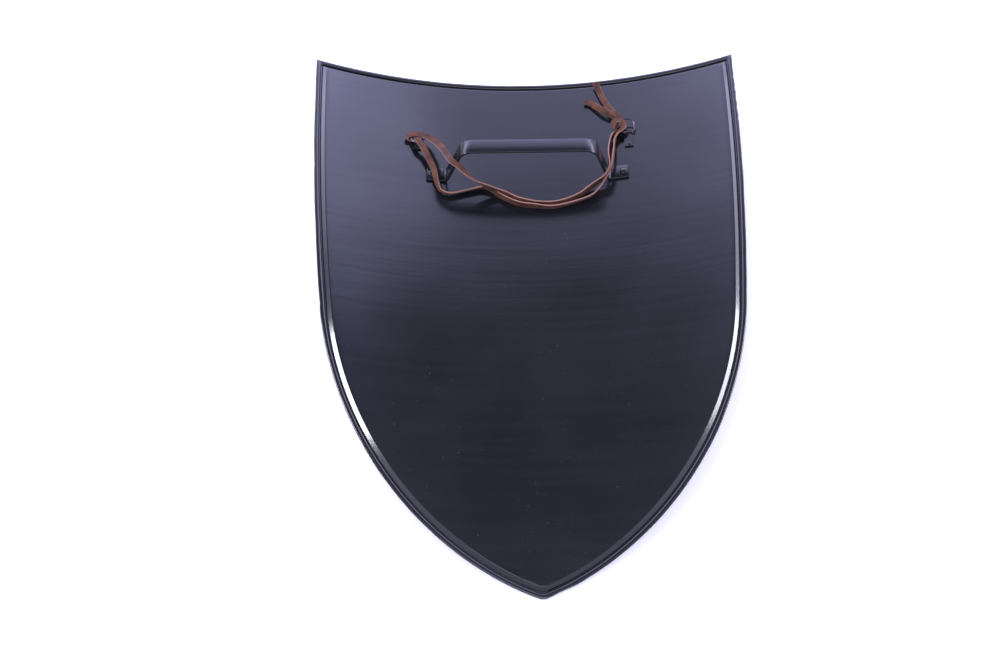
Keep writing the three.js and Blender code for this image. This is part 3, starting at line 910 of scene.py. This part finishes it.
def clip_outline():
    """The folded strip from the side, as one closed line: the leaves' eased end, the roll round the bar
    from the upper leaf to the lower one, and the lower edge. The bar fills the roll's hole."""
    outer = WIRE_RADIUS + 0.5 * MM + CLIP_SHEET
    leaf = 2 * CLIP_SHEET
    meet = np.arcsin((outer - leaf) / outer)
    roll = np.linspace(-meet, 1.5 * np.pi, CLIP_ROLL_STEPS)
    eased = CLIP_LENGTH - CLIP_EASING
    return np.vstack([
        [[CLIP_LENGTH, CLIP_EASING], [CLIP_LENGTH, leaf - CLIP_EASING], [eased, leaf]],
        np.stack([outer * np.cos(roll), outer + outer * np.sin(roll)], -1),
        [[eased, 0]],
    ])


def clip_piece(side):
    """Four copies of the outline across the strip's width. The two outer ones are a little smaller, so
    that the cut edges are eased."""
    spot = CLIPS[side]
    outline_points = clip_outline()
    inward = unit(np.array([CLIP_LENGTH / 3, CLIP_SHEET]) - outline_points)
    rings = []
    for across, shrink in ((-1, CLIP_SHRINK), (-0.97, 0), (0.97, 0), (1, CLIP_SHRINK)):
        ring = outline_points + inward * shrink
        x = np.full(len(ring), across * CLIP_WIDTH / 2)
        rings.append(np.column_stack([x, -ring[:, 0], ring[:, 1]]))
    rows, columns = len(rings), len(outline_points)
    faces = [*grid_quads(rows, columns, wrap=True), *closed_ends(rows, columns)]
    seated = placed(np.vstack(rings), spot["across"], spot["along"], FIELD_BACK + SEAT)
    piece = make_piece(f"tab_{side}", seated, faces, [f"ring_clip_{side}"])
    weld(piece)
    piece.data.materials.append(paint)
    return piece


for side in CLIPS:
    clip_piece(side)

# %% D-rings
WIRE_SIDES = 16
RING_STEP = 1.2 * MM


def ring_line():
    """The D in its own plane: the bar along its first axis, corners, sides and the half circle."""
    bar_middle, corner, side_end = np.array([[0, 0], [RING_HALF, 0], [RING_HALF, RING_SIDE]])
    right = rounded_line([(bar_middle, 0), (corner, RING_CORNER), (side_end, 0)], 9)
    angle = np.linspace(0, np.pi, 33)[1:-1]
    bow = np.stack([RING_HALF * np.cos(angle), RING_SIDE + RING_HALF * np.sin(angle)], -1)
    return evenly(np.vstack([right, bow, (right * [-1, 1])[::-1]]), RING_STEP)[:-1]


def d_ring(side):
    """The wire carried round the D, turned about its bar by the ring's tilt."""
    spot = CLIPS[side]
    flat = ring_line()
    path = np.column_stack([flat, np.zeros(len(flat))])
    tangents = path_tangents(path, closed=True)
    upward = np.tile([0.0, 0.0, 1.0], (len(path), 1))
    sideways = np.cross(tangents, upward)
    around = 2 * np.pi * np.arange(WIRE_SIDES) / WIRE_SIDES
    circle = WIRE_RADIUS * np.stack([np.cos(around), np.sin(around)], -1)
    points = swept(path, sideways, upward, circle)
    rows, columns = points.shape[:2]
    points = np.concatenate([points, points[:1]])
    tilt = np.radians(spot["tilt"])
    c, s = np.cos(tilt), np.sin(tilt)
    turn = np.array([[1, 0, 0], [0, c, s], [0, -s, c]])
    seated = placed(points.reshape(-1, 3) @ turn, spot["across"], spot["along"], BAR_LIFT)
    faces = grid_quads(rows + 1, columns, wrap=True)
    piece = make_piece(f"ring_{side}", seated, faces, [f"d_ring_{side}"])
    weld(piece)
    piece.data.materials.append(wire_steel)
    return piece


for side in CLIPS:
    d_ring(side)

# %% [markdown]
# ## Floor and light
#
# Satin black shows almost nothing but what it mirrors, so the room is built for its reflections.
# The back of the plate faces up and mirrors the ceiling, which is dark overhead and bright towards
# the far side. The slope round the field leans outwards: beside the middle of each side it
# mirrors one bright panel as a white line, and higher up it mirrors a dimmer window. The floor is
# plain white.

# %% Floor
FLOOR_HALF = 6.0


def floor():
    """A plain white square under the shield, which is staging and no part of it."""
    mesh = bpy.data.meshes.new("floor")
    corners = [(x * FLOOR_HALF, y * FLOOR_HALF, 0) for x, y in ((-1, -1), (1, -1), (1, 1), (-1, 1))]
    mesh.from_pydata(corners, [], [(0, 1, 2, 3)])
    piece = bpy.data.objects.new("floor", mesh)
    scene.collection.objects.link(piece)
    material, shader, *_ = new_material("floor")
    shader.inputs["Base Color"].default_value = (0.92, 0.92, 0.93, 1)
    shader.inputs["Roughness"].default_value = 0.9
    shader.inputs["Specular IOR Level"].default_value = 0.1
    mesh.materials.append(material)
    return piece


floor()

# %% [markdown]
# The world gives a colour to each direction. Y of a direction is how far it points to the far
# side, X how far to one side, and Z how high. The ceiling's ramp runs along Y, the two sides get
# a lavender glow by the size of X, and low down a plain wall takes over.

# %% World
CEILING = (
    # share of the way to the far side, then the colour there
    (0.34, (0.28, 0.29, 0.34)),
    (0.40, (0.20, 0.21, 0.25)),
    (0.46, (0.10, 0.105, 0.125)),
    (0.525, (0.06, 0.062, 0.075)),
    (0.56, (0.45, 0.47, 0.66)),
    (0.60, (0.92, 0.93, 1.46)),
    (0.72, (1.45, 1.45, 2.35)),
)
SIDE_GLOW = ((0.38, (0, 0, 0)), (0.52, (0.17, 0.19, 0.42)), (1.0, (0.65, 0.58, 1.05)))
SIDE_GAIN = 3.0
LOW_WALL = (0.80, 0.79, 1.10, 1)
WALL_TO_CEILING = ((0.32, 0), (0.56, 1))


def room():
    """The room as colour by direction: the ceiling times 1 + 3 x^2, plus the glow of the sides, and the
    low wall where z is small."""
    world = bpy.data.worlds.new("room")
    scene.world = world
    world.use_nodes = True
    tree = world.node_tree
    add, mix, ramp = node_tools(tree)
    way = add("ShaderNodeTexCoord").outputs["Generated"]
    split = add("ShaderNodeSeparateXYZ", {0: way}).outputs
    aside = add("ShaderNodeMath", {0: split["X"]}, operation="ABSOLUTE").outputs[0]
    squared = add("ShaderNodeMath", {0: aside, 1: 2}, operation="POWER").outputs[0]
    gain = add("ShaderNodeMath", {0: squared, 1: SIDE_GAIN}, operation="MULTIPLY").outputs[0]
    gain = add("ShaderNodeMath", {0: gain, 1: 1}, operation="ADD").outputs[0]
    ceiling = ramp(split["Y"], CEILING)
    wider = add("ShaderNodeVectorMath", {0: ceiling, "Scale": gain}, operation="SCALE").outputs[0]
    glow = ramp(aside, SIDE_GLOW)
    sides = add("ShaderNodeVectorMath", {0: wider, 1: glow}, operation="ADD").outputs[0]
    colour = mix(ramp(split["Z"], WALL_TO_CEILING), LOW_WALL, sides)
    tree.links.new(colour, tree.nodes["Background"].inputs["Color"])
    return world


room()

# %% [markdown]
# Seven soft lights stand in for the room's bright places. Each faces the shield, and the camera
# doesn't see it, so it shows only as light and as a reflection.

# %% Lights
COOL = (0.58, 0.58, 1.0)
LAVENDER = (0.80, 0.74, 1.0)
PALE = (0.90, 0.90, 1.0)
SOFT_LIGHTS = (
    # name, direction, distance, width and height, brightness, colour
    ("left_panel", (-0.80, 0.02, 0.58), 2.2, (1.10, 0.42), 28, PALE),
    ("right_panel", (0.86, 0.11, 0.50), 2.2, (1.10, 0.42), 24, PALE),
    ("left_window", (-0.70, 0.60, 0.42), 2.4, (0.6, 0.7), 2.6, LAVENDER),
    ("right_window", (0.75, 0.55, 0.40), 2.4, (0.8, 0.7), 4, LAVENDER),
    ("far_window", (0.0, 0.90, 0.42), 2.8, (4.4, 1.5), 2.0, COOL),
    ("far_corner", (0.31, 0.64, 0.70), 2.8, (0.65, 0.5), 0.8, COOL),
    ("front_sky", (-0.1, -0.60, 0.80), 3.2, (2.4, 1.6), 3.0, LAVENDER),
)


def soft_light(name, way, distance, size, brightness, colour):
    """A soft panel that faces the shield from a direction. Its power is brightness x pi x area, so that
    the panel looks equally bright whatever its size."""
    light = bpy.data.lights.new(name, "AREA")
    light.shape = "RECTANGLE"
    light.size, light.size_y = size
    light.energy = brightness * np.pi * size[0] * size[1]
    light.color = colour
    lamp = bpy.data.objects.new(name, light)
    scene.collection.objects.link(lamp)
    away = Vector(way).normalized()
    lamp.location = away * distance
    lamp.rotation_euler = away.to_track_quat("Z", "Y").to_euler()
    lamp.visible_camera = False


for row in SOFT_LIGHTS:
    soft_light(*row)
scene.view_settings.view_transform = "Standard"
